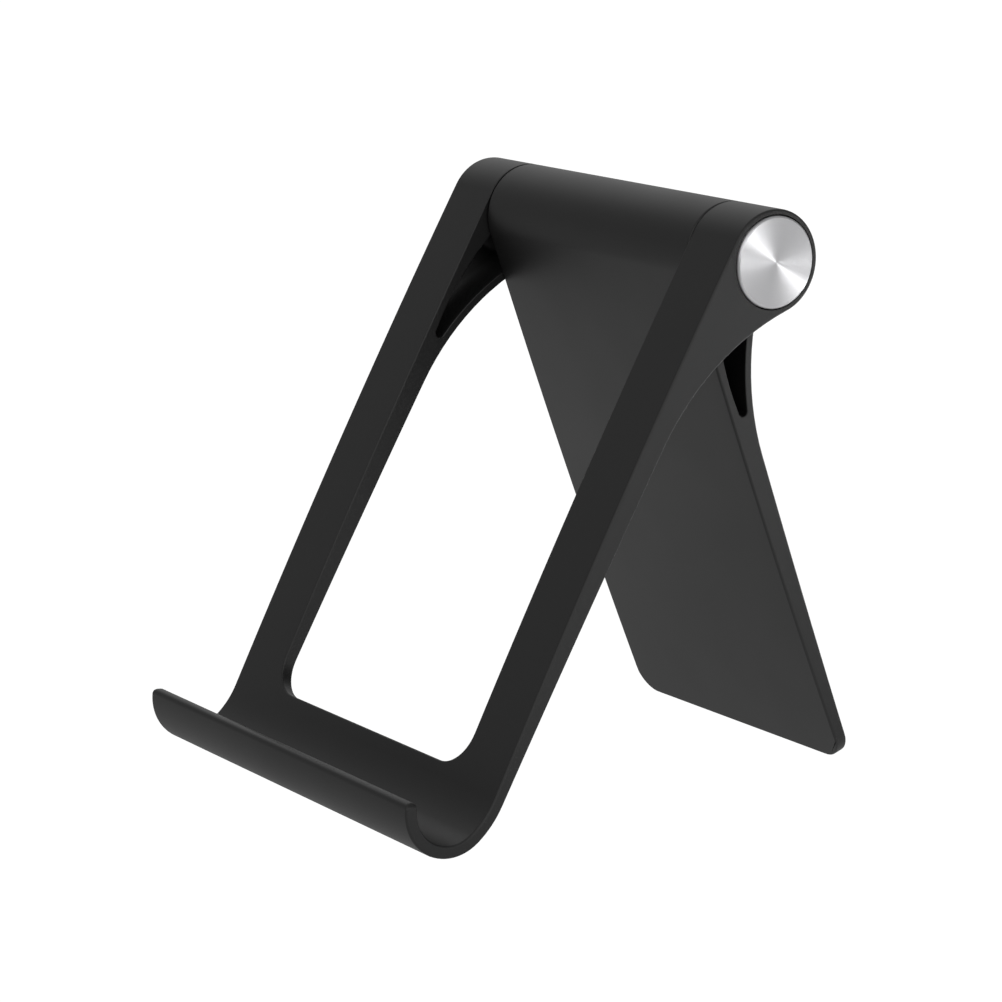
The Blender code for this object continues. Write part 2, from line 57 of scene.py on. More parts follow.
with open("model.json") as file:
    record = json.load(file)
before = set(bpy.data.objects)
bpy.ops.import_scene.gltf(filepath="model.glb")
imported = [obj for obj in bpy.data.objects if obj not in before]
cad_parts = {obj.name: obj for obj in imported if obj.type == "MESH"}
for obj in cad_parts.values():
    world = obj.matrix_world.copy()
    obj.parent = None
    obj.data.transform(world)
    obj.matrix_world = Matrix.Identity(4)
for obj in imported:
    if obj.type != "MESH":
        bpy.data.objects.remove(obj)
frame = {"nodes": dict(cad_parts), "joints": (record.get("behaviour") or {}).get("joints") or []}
CAD_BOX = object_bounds()
HINGE = frame["joints"][0]
AXIS = Vector(HINGE["pos_m"])
SIDES = (("left", -1), ("right", 1))

MM = 0.001
ANGLE_STEP = math.radians(3)
BOW_STEPS = 24
CORNER_STEPS = 14
WELD = 1e-6
ON_SURFACE = 0.05 * MM
MARGIN = 2 * MM
PLATE_REACH = 15 * MM
SHARP_ANGLE = math.radians(25)
FLAT_ANGLE = math.radians(0.02)
GROOVE_TOLERANCE = 0.01
EDGE_SEGMENTS = 4
STRIP_SEGMENTS = 3
CAP_RINGS = 24
AREA_WEIGHT = 80
TURNING_UNIT = 10 * MM

# The camera's aim from the hinge axis
AIM = (-35.591 * MM, 0, -51.328 * MM)

# Each soft box: azimuth, elevation, where its glow ends and where it is full, in degrees, and its brightness
SOFT_BOXES = (
    (-125, 42, 48, 14, "side_box"),
    (38, 32, 42, 14, "front_box"),
    (92, 3, 42, 16, "right_box"),
)

# The table: its half size, where its painted glow changes from front to back, and how far the painted shade
# round the stand reaches
TABLE_REACH = 12
FRONT_ENDS, BACK_STARTS = -120 * MM, 0
SHADE_REACH = 130 * MM
# The painted bright band in the table's glow behind the stand, along the hinge, and the break in its middle
BAND_MIDDLE, BAND_HALF, BAND_SOFT = 253 * MM, 25 * MM, 12 * MM
BREAK_MIDDLE, BREAK_NEAR, BREAK_FAR = 387 * MM, 60 * MM, 160 * MM

# A section's (n, s) turned so that s hangs down, n points to the user and its depth lies along the hinge
HANGING = Matrix(((0, 0, 1, 0), (-1, 0, 0, 0), (0, -1, 0, 0), (0, 0, 0, 1)))


def linear(hex_colour):
    """An sRGB hex colour as the linear values that Blender's sockets hold."""
    channels = [int(hex_colour[i : i + 2], 16) / 255 for i in (1, 3, 5)]
    return tuple(c / 12.92 if c <= 0.04045 else ((c + 0.055) / 1.055) ** 2.4 for c in channels)


def length(name, description, default):
    return FloatProperty(
        name=name, description=description, default=default, subtype="DISTANCE", unit="LENGTH", precision=5
    )


def angle(name, description, degrees):
    return FloatProperty(
        name=name, description=description, default=math.radians(degrees), subtype="ANGLE", unit="ROTATION"
    )


def colour(name, description, hex_colour):
    return FloatVectorProperty(
        name=name, description=description, default=linear(hex_colour), subtype="COLOR", size=3, min=0, max=1
    )


def number(name, description, default):
    return FloatProperty(name=name, description=description, default=default, min=0)


class StandProfileSizes(bpy.types.PropertyGroup):
    barrel_radius: length("Barrel radius", "Radius of the hinge barrel", 8.3 * MM)
    frame_lean: angle("Frame lean", "How far the front frame leans back from upright", 29.5)
    leg_opening: angle("Leg opening", "How far the leg stands open from upright", 20.4368)
    front_bow: length("Front bow radius", "Radius of the gently bowed front face", 1.6)
    rear_bow: length("Rear bow radius", "Radius of the gently bowed rear face", 2.8)
    rear_height: length("Rear face height", "Where the rear face lies in front of the axis", 4.2 * MM)
    gusset_radius: length("Gusset radius", "Fillet from the barrel to the rear face", 44 * MM)
    edge_round: length("Edge rounding", "Radius on the outer edges of both mouldings", 0.4 * MM)
    window_round: length("Window rounding", "Radius on the edges round the window", 0.3 * MM)
    ear_round: length("Ear rounding", "Radius on the ears' edges next to the barrel", 0.15 * MM)
    barrel_round: length("Barrel rounding", "Radius on the ends of the leg's barrel", 0.35 * MM)
    rim_round: length("Rim rounding", "Radius on pocket and groove rims", 0.2 * MM)
    slot_round: length("Slot rounding", "Radius on the rims of recesses and of the bead's slot", 0.1 * MM)


class StandFrameSizes(bpy.types.PropertyGroup):
    window_half_width: length("Window half width", "Half the width of the window", 28.6 * MM)
    window_bottom: length("Window bottom", "Window's lower edge, down the plate from the axis", 91.2 * MM)
    window_corner: length("Window corner", "Radius of the window's lower corners", 5.9 * MM)
    hook_out: length("Hook centre out", "Hook centre, towards the user from the axis", 12.3 * MM)
    hook_down: length("Hook centre down", "Hook centre, down the plate from the axis", 97.2 * MM)
    hook_inner: length("Hook inner radius", "Radius of the trough that holds the phone", 6.1 * MM)
    hook_outer: length("Hook outer radius", "Radius of the hook's underside", 8.15 * MM)
    hook_sweep: angle("Hook sweep", "How far the hook curls round its centre", 155)
    hook_inner_blend: length("Inner blend radius", "Easing from the front face into the trough", 14 * MM)
    hook_outer_blend: length("Outer blend radius", "Easing from the rear face into the hook", 16 * MM)
    lip_length: length("Lip length", "Straight end of the hook", 1.0 * MM)
    lip_corner: length("Lip corner radius", "Rounding of the lip's two corners", 0.95 * MM)
    lip_round: length("Lip rounding", "Radius on the long edges of the lip", 0.8 * MM)


class StandLegSizes(bpy.types.PropertyGroup):
    half_width: length("Leg half width", "Half the width of the leg", 28.3 * MM)
    reach: length("Leg length", "The leg's lower edge, down from the axis", 90.3 * MM)
    corner: length("Leg corner radius", "Radius of the leg's lower corners", 4.5 * MM)


class StandPocketSizes(bpy.types.PropertyGroup):
    front_radius: length("Front wall radius", "Radius of the pocket's front wall", 48.5 * MM)
    front_out: length("Front wall centre out", "Centre of that wall, out from the axis", -41.8 * MM)
    front_down: length("Front wall centre down", "Centre of that wall, down from the axis", 20.2 * MM)
    rear_wall: length("Rear wall", "Thickness of the gusset behind the pocket", 1.4 * MM)
    boss_radius: length("Boss radius", "Radius of the solid boss round the bolt", 7.6 * MM)
    end: length("Pocket end", "Where the pocket's round tip is centred, down from the axis", 25.3 * MM)
    arm_depth: length("Arm pocket depth", "Depth of the pockets in the arms", 8 * MM)
    leg_depth: length("Leg pocket depth", "Depth of the pockets in the leg", 12 * MM)


class StandHingeSizes(bpy.types.PropertyGroup):
    cap_chamfer: length("Cap chamfer", "Turned chamfer round the cap's face", 0.3 * MM)
    recess_clearance: length("Recess clearance", "Gap round each end cap", 0.2 * MM)
    recess_floor: length("Recess floor", "Depth of the cap recess, from the middle", 37.9 * MM)
    counterbore: length("Counterbore radius", "Bore for the bolt head and the springs", 4.8 * MM)
    counterbore_floor: length("Counterbore floor", "Where that bore ends, from the middle", 31.2 * MM)
    bolt_bore: length("Bolt bore radius", "Clearance bore for the bolt", 2.3 * MM)
    barrel_bore: length("Barrel bore radius", "Bore for the bushes", 3.9 * MM)
    flange_bore: length("Flange bore radius", "Counterbore for the bush flange", 4.9 * MM)
    flange_floor: length("Flange floor", "Where that counterbore ends, from the middle", 25.7 * MM)
    friction_bore: length("Friction disc bore radius", "Counterbore for the friction disc", 6.4 * MM)
    friction_floor: length("Friction disc floor", "Where that counterbore ends", 26.9 * MM)
    turned_sides: IntProperty(
        name="Turned sides", description="Facets round a turned piece", default=160, min=24
    )


class StandRubberSizes(bpy.types.PropertyGroup):
    strip_half_angle: angle("Groove half angle", "Half the sector of the groove under the hook", 16)
    strip_groove: length("Groove depth", "Depth of that groove", 0.75 * MM)
    strip_proud: length("Strip proud", "How far the strip stands out of the hook", 0.2 * MM)
    gap: length("Gap", "Fitting gap round the rubber", 0.3 * MM)
    bead_radius: length("Bead radius", "Radius of the rubber bead in the leg's edge", 0.45 * MM)
    bead_proud: length("Bead proud", "How far the bead stands out of the leg", 0.65 * MM)
    bead_depth: length("Bead slot depth", "Depth of the slot in the leg's edge", 0.9 * MM)
    bead_clearance: length("Bead clearance", "Gap between the bead and its slot", 0.2 * MM)
    pad_thickness: length("Pad thickness", "Thickness of the silicone pad", 0.8 * MM)
    pad_start: angle("Pad start", "Where the pad begins in the trough", 32)
    pad_end: angle("Pad end", "Where the pad ends in the trough", 128)
    soft_edge: length("Soft edge", "Rounding of the rubber's and the pad's edges", 0.12 * MM)


class StandFinishes(bpy.types.PropertyGroup):
    abs_black: colour("ABS black", "Mass-coloured black ABS", "#141414")
    aluminium: colour("Aluminium", "Bare spun aluminium", "#dcdcde")
    zinc: colour("Zinc", "Bright zinc plate", "#c4c6c9")
    phosphate: colour("Phosphate", "Phosphated spring steel", "#4a4a4c")
    acetal: colour("Acetal", "Natural acetal", "#e6e4dc")
    friction: colour("Friction compound", "Pressed friction compound", "#5c4636")
    silicone: colour("Silicone", "Black silicone", "#202020")
    rubber: colour("Rubber", "Black rubber", "#161616")
    adhesive: colour("Adhesive", "Acrylic foam tape", "#d6d0be")
    floor: colour("Floor", "White table, painted glow", "#fafafa")


class StandStage(bpy.types.PropertyGroup):
    azimuth: angle("Camera azimuth", "Turn of the camera round the stand", 56.321)
    elevation: angle("Camera elevation", "Camera's height as an angle", 11.783)
    roll: angle("Camera roll", "Turn of the camera about its own line of sight", 0.671)
    distance: length("Camera distance", "From the aim point to the camera", 0.6407)
    lens: FloatProperty(
        name="Lens", description="Focal length in millimetres", default=132.07, unit="CAMERA"
    )
    white: number("White", "Brightness of the table where the camera sees it", 1.1)
    dim_studio: number("Dim studio", "Brightness of the studio away from its soft boxes", 0.30)
    side_box: number("Side box", "Brightness of the soft box high on the far left", 0.5)
    front_box: number("Front box", "Brightness of the soft box above and right of the camera", 0.6)
    right_box: number("Right box", "Brightness of the low soft box on the right", 0.9)
    # Painted light: the glow that the stand sees is painted dimmer in front of it and brighter beside and
    # behind it
    table_front: number("Table, front", "Light that the table throws up in front of the stand", 0.38)
    table_back: number("Table, back", "Light that the table throws up beside and behind the stand", 0.75)
    # Painted shade: the table's glow is dimmed round the stand; no shadow is cast
    painted_table_shade: number("Table shade", "How much of that the stand itself holds off close by", 0.35)
    # Painted light: a bright band painted into the table's glow, where no lamp stands
    painted_table_band: number("Table, band", "Light thrown up by the bright band behind the stand", 9.0)


def settings(group):
    return getattr(bpy.context.scene, group)


# ---------------------------------------------------------------------------
# Outlines, as (n, s): s runs down the plate from the hinge axis, n towards the user
# ---------------------------------------------------------------------------


def arc(centre, radius, start, end):
    """Points on a circle; an angle of 0 points to -n (the back) and 90 degrees to +s (down)."""
    steps = max(3, math.ceil(abs(end - start) / ANGLE_STEP))
    angles = [start + (end - start) * i / steps for i in range(steps + 1)]
    return [(centre[0] - radius * math.cos(a), centre[1] + radius * math.sin(a)) for a in angles]


def bearing(centre, point):
    """The angle that arc() gives to a point seen from a centre, between -90 and 270 degrees."""
    found = math.atan2(point[1] - centre[1], centre[0] - point[0])
    return found if found > -math.pi / 2 else found + 2 * math.pi


def circles_meet(centre_a, radius_a, centre_b, radius_b):
    """Where two circles cross, on the right of the way from a to b."""
    a, b = Vector(centre_a), Vector(centre_b)
    gap = (b - a).length
    along = (gap * gap + radius_a * radius_a - radius_b * radius_b) / (2 * gap)
    across = math.sqrt(radius_a * radius_a - along * along)
    way = (b - a) / gap
    return tuple(a + way * along - across * Vector((-way.y, way.x)))


def gusset_centre():
    """Centre of the fillet that touches the barrel from outside and the rear face at its highest point."""
    size = settings("stand_profile")
    down = (size.barrel_radius + size.rear_height) * (
        size.barrel_radius - size.rear_height + 2 * size.gusset_radius
    )
    return (size.rear_height - size.gusset_radius, math.sqrt(down))


def front_at(s):
    """n of the bowed front face, which touches the barrel at s = 0."""
    size = settings("stand_profile")
    return size.barrel_radius - size.front_bow + math.sqrt(size.front_bow**2 - s * s)


def rear_at(s):
    """n of the rear face past the gusset."""
    size = settings("stand_profile")
    return size.rear_height - size.rear_bow + math.sqrt(size.rear_bow**2 - (s - gusset_centre()[1]) ** 2)


def barrel_and_gusset():
    """From the front face's tangent point over the barrel and down the gusset to the rear face."""
    size = settings("stand_profile")
    centre = gusset_centre()
    turn = bearing((0, 0), centre)
    over_the_top = arc((0, 0), size.barrel_radius, math.pi, 2 * math.pi + turn)
    fillet = arc(centre, size.gusset_radius, turn + math.pi, math.pi)
    return over_the_top + fillet[1:]


def front_face(s_from):
    """The bowed front face from below s_from up to, and without, its tangent point on the barrel."""
    stations = [s_from * (1 - i / BOW_STEPS) for i in range(1, BOW_STEPS)]
    return [(front_at(s), s) for s in stations]


def rear_face(s_to):
    """The rear face from below the gusset down to, and without, s_to."""
    first = gusset_centre()[1]
    stations = [first + (s_to - first) * i / BOW_STEPS for i in range(1, BOW_STEPS)]
    return [(rear_at(s), s) for s in stations]


def hook_centre():
    size = settings("stand_frame")
    return (size.hook_out, size.hook_down)


def hook_blend(bow_centre, bow_radius, blend_radius, hook_radius):
    """The arc that eases a plate face into the hook: its points, and the bearing where the hook begins."""
    centre = circles_meet(bow_centre, bow_radius + blend_radius, hook_centre(), blend_radius - hook_radius)
    start, end = bearing(centre, bow_centre), bearing(centre, hook_centre())
    return arc(centre, blend_radius, start, end), end


def lip_end():
    """The two corners of the lip's square end, the outer one first."""
    hook, centre = settings("stand_frame"), hook_centre()
    along = (hook.lip_length * math.sin(hook.hook_sweep), hook.lip_length * math.cos(hook.hook_sweep))
    return [
        (
            centre[0] - radius * math.cos(hook.hook_sweep) + along[0],
            centre[1] + radius * math.sin(hook.hook_sweep) + along[1],
        )
        for radius in (hook.hook_outer, hook.hook_inner)
    ]


def frame_outline():
    """Side view of the front frame: barrel, plate, hook and its straight lip."""
    plate, hook = settings("stand_profile"), settings("stand_frame")
    rear_bow_centre = (plate.rear_height - plate.rear_bow, gusset_centre()[1])
    front_bow_centre = (plate.barrel_radius - plate.front_bow, 0)
    outer_blend, outer_end = hook_blend(
        rear_bow_centre, plate.rear_bow, hook.hook_outer_blend, hook.hook_outer
    )
    inner_blend, inner_end = hook_blend(
        front_bow_centre, plate.front_bow, hook.hook_inner_blend, hook.hook_inner
    )
    centre, sweep = hook_centre(), hook.hook_sweep
    outer_hook = arc(centre, hook.hook_outer, outer_end, sweep)
    inner_hook = arc(centre, hook.hook_inner, sweep, inner_end)
    curl = outer_blend + outer_hook[1:] + lip_end() + inner_hook + inner_blend[::-1][1:]
    return barrel_and_gusset() + rear_face(outer_blend[0][1]) + curl + front_face(inner_blend[0][1])


def leg_outline():
    """Side view of the leg: barrel, gusset and panel, cut square at the foot."""
    size = settings("stand_leg")
    tip, last = size.reach, size.reach - size.corner - 0.5 * MM
    foot = [(rear_at(last), last), (rear_at(tip), tip), (front_at(tip), tip), (front_at(last), last)]
    return barrel_and_gusset() + rear_face(last) + foot + front_face(last)


def pocket_outline():
    """The leaf-shaped pocket between the front wall, the gusset wall and the hinge boss."""
    plate, pocket = settings("stand_profile"), settings("stand_pocket")
    rear_centre, rear_radius = gusset_centre(), plate.gusset_radius + pocket.rear_wall
    front_centre = (pocket.front_out, pocket.front_down)
    front_n = front_centre[0] + math.sqrt(pocket.front_radius**2 - (pocket.end - front_centre[1]) ** 2)
    rear_n = rear_centre[0] + math.sqrt(rear_radius**2 - (pocket.end - rear_centre[1]) ** 2)
    boss_front = circles_meet((0, 0), pocket.boss_radius, front_centre, pocket.front_radius)
    boss_rear = circles_meet((0, 0), pocket.boss_radius, rear_centre, rear_radius)
    front_start = bearing(front_centre, boss_front)
    front_end = bearing(front_centre, (front_n, pocket.end))
    front_wall = arc(front_centre, pocket.front_radius, front_start, front_end)
    tip = arc(((front_n + rear_n) / 2, pocket.end), (front_n - rear_n) / 2, math.pi, 0)[::3]
    rear_start, rear_end = bearing(rear_centre, (rear_n, pocket.end)), bearing(rear_centre, boss_rear)
    rear_wall = arc(rear_centre, rear_radius, rear_start, rear_end)
    boss = arc((0, 0), pocket.boss_radius, bearing((0, 0), boss_rear), bearing((0, 0), boss_front))
    return front_wall + tip[1:-1] + rear_wall + boss[1:-1]


def corner(centre, radius):
    """A quarter circle in a front view (x, s), from its side to its lowest point."""
    angles = [math.pi / 2 * i / CORNER_STEPS for i in range(CORNER_STEPS + 1)]
    return [(centre[0] + radius * math.cos(a), centre[1] + radius * math.sin(a)) for a in angles]


def window_outline():
    """Front view (x, s) of the window, which hangs from above the barrel."""
    size = settings("stand_frame")
    centre = (size.window_half_width - size.window_corner, size.window_bottom - size.window_corner)
    right = corner(centre, size.window_corner)
    left = [(-x, s) for x, s in reversed(right)]
    top = -2 * settings("stand_profile").barrel_radius
    return [(size.window_half_width, top)] + right + left + [(-size.window_half_width, top)]


def corner_outline(side, half_width, end, radius):
    """Front view (x, s) of what is taken off one lower corner of a plate to round it."""
    centre = (half_width - radius, end - radius)
    far_x, far_s = half_width + MARGIN, end + MARGIN
    outside = [(centre[0], far_s), (far_x, far_s), (far_x, centre[1])]
    return [(side * x, s) for x, s in corner(centre, radius) + outside]


def strip_section(inner, outer, half_angle):
    """A sector of the hook, centred on the direction that points straight down."""
    down = math.pi / 2 - settings("stand_profile").frame_lean
    inside = arc(hook_centre(), inner, down - half_angle, down + half_angle)
    return inside + arc(hook_centre(), outer, down + half_angle, down - half_angle)


def bead_centre():
    """Centre of the rubber bead's round edge, midway through the leg's thickness."""
    reach, rubber = settings("stand_leg").reach, settings("stand_rubber")
    return ((front_at(reach) + rear_at(reach)) / 2, reach + rubber.bead_proud - rubber.bead_radius)


def distance_to(outline, point):
    """How far a point of the section lies from the closed outline."""
    here, nearest = Vector(point), math.inf
    for i, start in enumerate(outline):
        a, b = Vector(start), Vector(outline[(i + 1) % len(outline)])
        way = b - a
        share = min(1, max(0, (here - a).dot(way) / max(way.length_squared, 1e-18)))
        nearest = min(nearest, (here - a - way * share).length)
    return nearest


# ---------------------------------------------------------------------------
# Geometry Nodes: a section extruded along the hinge, and a section turned about an axis
# ---------------------------------------------------------------------------


def node(tree, kind, inputs=(), **values):
    """Adds a node: its settings by name, and its inputs as (socket, value or the output that feeds it)."""
    made = tree.nodes.new(kind)
    for name, value in values.items():
        setattr(made, name, value)
    for socket, value in dict(inputs).items():
        if isinstance(value, bpy.types.NodeSocket):
            tree.links.new(value, made.inputs[socket])
        else:
            made.inputs[socket].default_value = value
    return made


def new_tree(name, sockets):
    """A geometry node group with named inputs; returns it with its input node and its output node."""
    tree = bpy.data.node_groups.new(name, "GeometryNodeTree")
    tree.interface.new_socket("Section", in_out="INPUT", socket_type="NodeSocketGeometry")
    for label, kind in sockets:
        tree.interface.new_socket(label, in_out="INPUT", socket_type=kind)
    tree.interface.new_socket("Solid", in_out="OUTPUT", socket_type="NodeSocketGeometry")
    return tree, tree.nodes.new("NodeGroupInput"), tree.nodes.new("NodeGroupOutput")


def finish_tree(tree, solid, given, output):
    """Ends a tree: weld, smooth shading, real geometry and the material."""
    welded = node(tree, "GeometryNodeMergeByDistance", {"Geometry": solid, "Distance": WELD})
    smooth = node(tree, "GeometryNodeSetShadeSmooth", {"Geometry": welded.outputs[0]})
    real = node(tree, "GeometryNodeRealizeInstances", {"Geometry": smooth.outputs[0]})
    painted = node(tree, "GeometryNodeSetMaterial", {"Geometry": real.outputs[0]})
    tree.links.new(given.outputs["Material"], painted.inputs["Material"])
    tree.links.new(painted.outputs[0], output.inputs["Solid"])


def extrusion_tree():
    """A closed section in XY, filled and drawn out along Z between two depths."""
    sockets = (("From", "NodeSocketFloat"), ("To", "NodeSocketFloat"), ("Material", "NodeSocketMaterial"))
    tree, given, output = new_tree("Extruded section", sockets)
    loop = node(tree, "GeometryNodeMeshToCurve", {"Mesh": given.outputs["Section"]})
    face = node(tree, "GeometryNodeFillCurve", {0: loop.outputs[0]}, mode="NGONS")
    start = node(tree, "ShaderNodeCombineXYZ", {"Z": given.outputs["From"]})
    at_start = {"Geometry": face.outputs[0], "Translation": start.outputs[0]}
    placed = node(tree, "GeometryNodeTransform", at_start)
    depth = node(
        tree, "ShaderNodeMath", {0: given.outputs["To"], 1: given.outputs["From"]}, operation="SUBTRACT"
    )
    drawn = node(
        tree,
        "GeometryNodeExtrudeMesh",
        {
            "Mesh": placed.outputs[0],
            "Offset": (0, 0, 1),
            "Offset Scale": depth.outputs[0],
            "Individual": False,
        },
        mode="FACES",
    )
    underside = node(tree, "GeometryNodeFlipFaces", {"Mesh": placed.outputs[0]})
    both = tree.nodes.new("GeometryNodeJoinGeometry")
    tree.links.new(underside.outputs[0], both.inputs[0])
    tree.links.new(drawn.outputs[0], both.inputs[0])
    finish_tree(tree, both.outputs[0], given, output)
    return tree


def turning_tree():
    """A section of (radius, height) points in XY, swept once round the Z axis."""
    sockets = (("Sides", "NodeSocketInt"), ("Guide", "NodeSocketFloat"), ("Material", "NodeSocketMaterial"))
    tree, given, output = new_tree("Turned section", sockets)
    section = node(tree, "GeometryNodeMeshToCurve", {"Mesh": given.outputs["Section"]})
    guide = node(tree, "GeometryNodeCurvePrimitiveCircle", mode="RADIUS")
    tree.links.new(given.outputs["Sides"], guide.inputs["Resolution"])
    tree.links.new(given.outputs["Guide"], guide.inputs["Radius"])
    inward = node(tree, "ShaderNodeMath", {0: given.outputs["Guide"], 1: -1.0}, operation="MULTIPLY")
    shift = node(tree, "ShaderNodeCombineXYZ", {"X": inward.outputs[0]})
    # A swept profile hangs inwards and upside down from its guide
    centred = node(
        tree,
        "GeometryNodeTransform",
        {"Geometry": section.outputs[0], "Translation": shift.outputs[0], "Scale": (1, -1, 1)},
    )
    swept = node(
        tree, "GeometryNodeCurveToMesh", {"Curve": guide.outputs[0], "Profile Curve": centred.outputs[0]}
    )
    finish_tree(tree, swept.outputs[0], given, output)
    return tree


def run_tree(tree, name, points, closed, values):
    """Runs a tree on a section and returns what it makes as a plain mesh object at the origin."""
    count = len(points)
    edges = [(i, (i + 1) % count) for i in range(count if closed else count - 1)]
    section = bpy.data.meshes.new(name + "_section")
    section.from_pydata([(u, v, 0) for u, v in points], edges, [])
    carrier = bpy.data.objects.new(name + "_section", section)
    bpy.context.scene.collection.objects.link(carrier)
    modifier = carrier.modifiers.new("tree", "NODES")
    modifier.node_group = tree
    for item in tree.interface.items_tree:
        if item.in_out == "INPUT" and item.name in values:
            modifier[item.identifier] = values[item.name]
    made = plain_copy(carrier, name)
    bpy.data.objects.remove(carrier)
    return made


def plain_copy(source, name):
    """What an object's modifiers make, as a mesh object with none."""
    bpy.context.view_layer.update()
    depsgraph = bpy.context.evaluated_depsgraph_get()
    mesh = bpy.data.meshes.new_from_object(source.evaluated_get(depsgraph), depsgraph=depsgraph)
    mesh.name = name
    made = bpy.data.objects.new(name, mesh)
    bpy.context.scene.collection.objects.link(made)
    return made


def tree_named(name, maker):
    return bpy.data.node_groups.get(name) or maker()


def tidy_mesh(piece, placing):
    """Moves the mesh into place, welds it and turns its faces outwards."""
    piece.data.transform(placing)
    build = bmesh.new()
    build.from_mesh(piece.data)
    bmesh.ops.remove_doubles(build, verts=build.verts, dist=WELD)
    bmesh.ops.recalc_face_normals(build, faces=build.faces)
    build.to_mesh(piece.data)
    build.free()
    piece.data.shade_smooth()


def along_hinge(name, outline, x_from, x_to, finish):
    """A side outline (n, s), solid between two distances along the hinge, hanging from the axis."""
    tree = tree_named("Extruded section", extrusion_tree)
    low, high = sorted((x_from, x_to))
    piece = run_tree(tree, name, outline, True, {"From": low, "To": high, "Material": finish})
    tidy_mesh(piece, HANGING)
    return piece


def through_plate(name, outline, finish):
    """A front outline (x, s), solid right through the hanging plate."""
    tree = tree_named("Extruded section", extrusion_tree)
    values = {"From": -PLATE_REACH, "To": PLATE_REACH, "Material": finish}
    piece = run_tree(tree, name, outline, True, values)
    tidy_mesh(piece, Matrix.Rotation(-math.pi / 2, 4, "X"))
    return piece


def turned(name, profile, side, finish):
    """(distance from the middle, radius) points turned about the hinge axis, to the right or the left."""
    tree = tree_named("Turned section", turning_tree)
    points = [(radius, x) for x, radius in profile]
    guide = max(radius for radius, _ in points)
    values = {"Sides": settings("stand_hinge").turned_sides, "Guide": guide, "Material": finish}
    piece = run_tree(tree, name, points, False, values)
    tidy_mesh(piece, Matrix.Rotation(side * math.pi / 2, 4, "Y"))
    return piece


def cut_away(piece, cutters):
    """Takes the cutters' solids out of a piece and removes them."""
    for cutter in cutters:
        modifier = piece.modifiers.new(cutter.name, "BOOLEAN")
        modifier.operation = "DIFFERENCE"
        modifier.solver = "EXACT"
        modifier.object = cutter
    name = piece.name
    piece.name = name + "_blank"
    made = plain_copy(piece, name)
    for gone in [piece, *cutters]:
        bpy.data.objects.remove(gone)
    tidy_mesh(made, Matrix.Identity(4))
    return made


def round_edges(piece, radius_at, segments):
    """Rounds each convex sharp edge with the radius that radius_at gives for its middle."""
    build = bmesh.new()
    build.from_mesh(piece.data)
    bmesh.ops.dissolve_limit(
        build, angle_limit=FLAT_ANGLE, verts=build.verts, edges=build.edges, delimit={"SHARP"}
    )
    weights = build.edges.layers.float.new("bevel_weight_edge")
    largest = 0
    radii = {}
    for edge in build.edges:
        if len(edge.link_faces) != 2 or not edge.is_convex or edge.calc_face_angle(0) < SHARP_ANGLE:
            continue
        radii[edge] = radius_at((edge.verts[0].co + edge.verts[1].co) / 2)
        largest = max(largest, radii[edge])
    for edge, radius in radii.items():
        edge[weights] = radius / largest
    build.to_mesh(piece.data)
    build.free()
    rounding = piece.modifiers.new("rounding", "BEVEL")
    rounding.limit_method = "WEIGHT"
    rounding.width = largest
    rounding.segments = segments
    rounding.use_clamp_overlap = False
    name = piece.name
    piece.name = name + "_sharp"
    made = plain_copy(piece, name)
    bpy.data.objects.remove(piece)
    made.data.shade_smooth()
    weighting = made.modifiers.new("weighting", "WEIGHTED_NORMAL")
    weighting.keep_sharp = False
    weighting.weight = AREA_WEIGHT
    return made


def split_across(piece, distances):
    """Divides the faces at some distances along the hinge, so that none comes out long and thin."""
    build = bmesh.new()
    build.from_mesh(piece.data)
    for x in distances:
        everything = build.verts[:] + build.edges[:] + build.faces[:]
        bmesh.ops.bisect_plane(build, geom=everything, plane_co=(x, 0, 0), plane_no=(1, 0, 0), dist=WELD)
    build.to_mesh(piece.data)
    build.free()


def settle(piece, lean):
    """Leans a hanging piece about the axis and puts it where the hinge is."""
    piece.data.transform(Matrix.Translation(AXIS) @ Matrix.Rotation(lean, 4, "X"))
    return piece


# ---------------------------------------------------------------------------
# Finishes
# ---------------------------------------------------------------------------


def new_material(name):
    """A material with its tree, its Principled BSDF and its object coordinates."""
    made = bpy.data.materials.new(name)
    made.use_nodes = True
    tree = made.node_tree
    place = tree.nodes.new("ShaderNodeTexCoord")
    return made, tree, tree.nodes["Principled BSDF"], place.outputs["Object"]


def per(millimetres):
    """A texture scale whose features are about this many millimetres apart."""
    return 1 / (millimetres * MM)


def vary(tree, shader, base, spread, pattern, roughness, sheen_pattern, relief):
    """Varies a finish: colour and relief by one pattern, roughness between two values by another."""
    ramp = tree.nodes.new("ShaderNodeValToRGB")
    tree.links.new(pattern, ramp.inputs[0])
    for element, share in zip(ramp.color_ramp.elements, (1 - spread, 1 + spread)):
        element.color = (*(min(1, c * share) for c in base), 1)
    low, high = roughness
    sheen = node(tree, "ShaderNodeMapRange", {"Value": sheen_pattern, "To Min": low, "To Max": high})
    depth, strength = relief
    raised = node(tree, "ShaderNodeBump", {"Height": pattern, "Distance": depth, "Strength": strength})
    tree.links.new(ramp.outputs["Color"], shader.inputs["Base Color"])
    tree.links.new(sheen.outputs["Result"], shader.inputs["Roughness"])
    tree.links.new(raised.outputs["Normal"], shader.inputs["Normal"])


def black_abs():
    """Black ABS, injection-moulded in a spark-eroded tool: a fine even matt with a soft sheen."""
    made, tree, shader, place = new_material("Black ABS, spark-eroded matt")
    # Spark erosion leaves pits about 0.15 mm apart and a few micrometres deep
    pits = node(tree, "ShaderNodeTexNoise", {"Vector": place, "Scale": per(0.15), "Detail": 2.0}).outputs[0]
    # Flow and cooling leave broad, barely visible differences of sheen
    flow = node(tree, "ShaderNodeTexNoise", {"Vector": place, "Scale": per(14), "Detail": 1.0}).outputs[0]
    base = settings("stand_finishes").abs_black
    vary(tree, shader, base, 0.08, pits, (0.44, 0.50), flow, (0.006 * MM, 0.6))
    shader.inputs["IOR"].default_value = 1.53
    return made


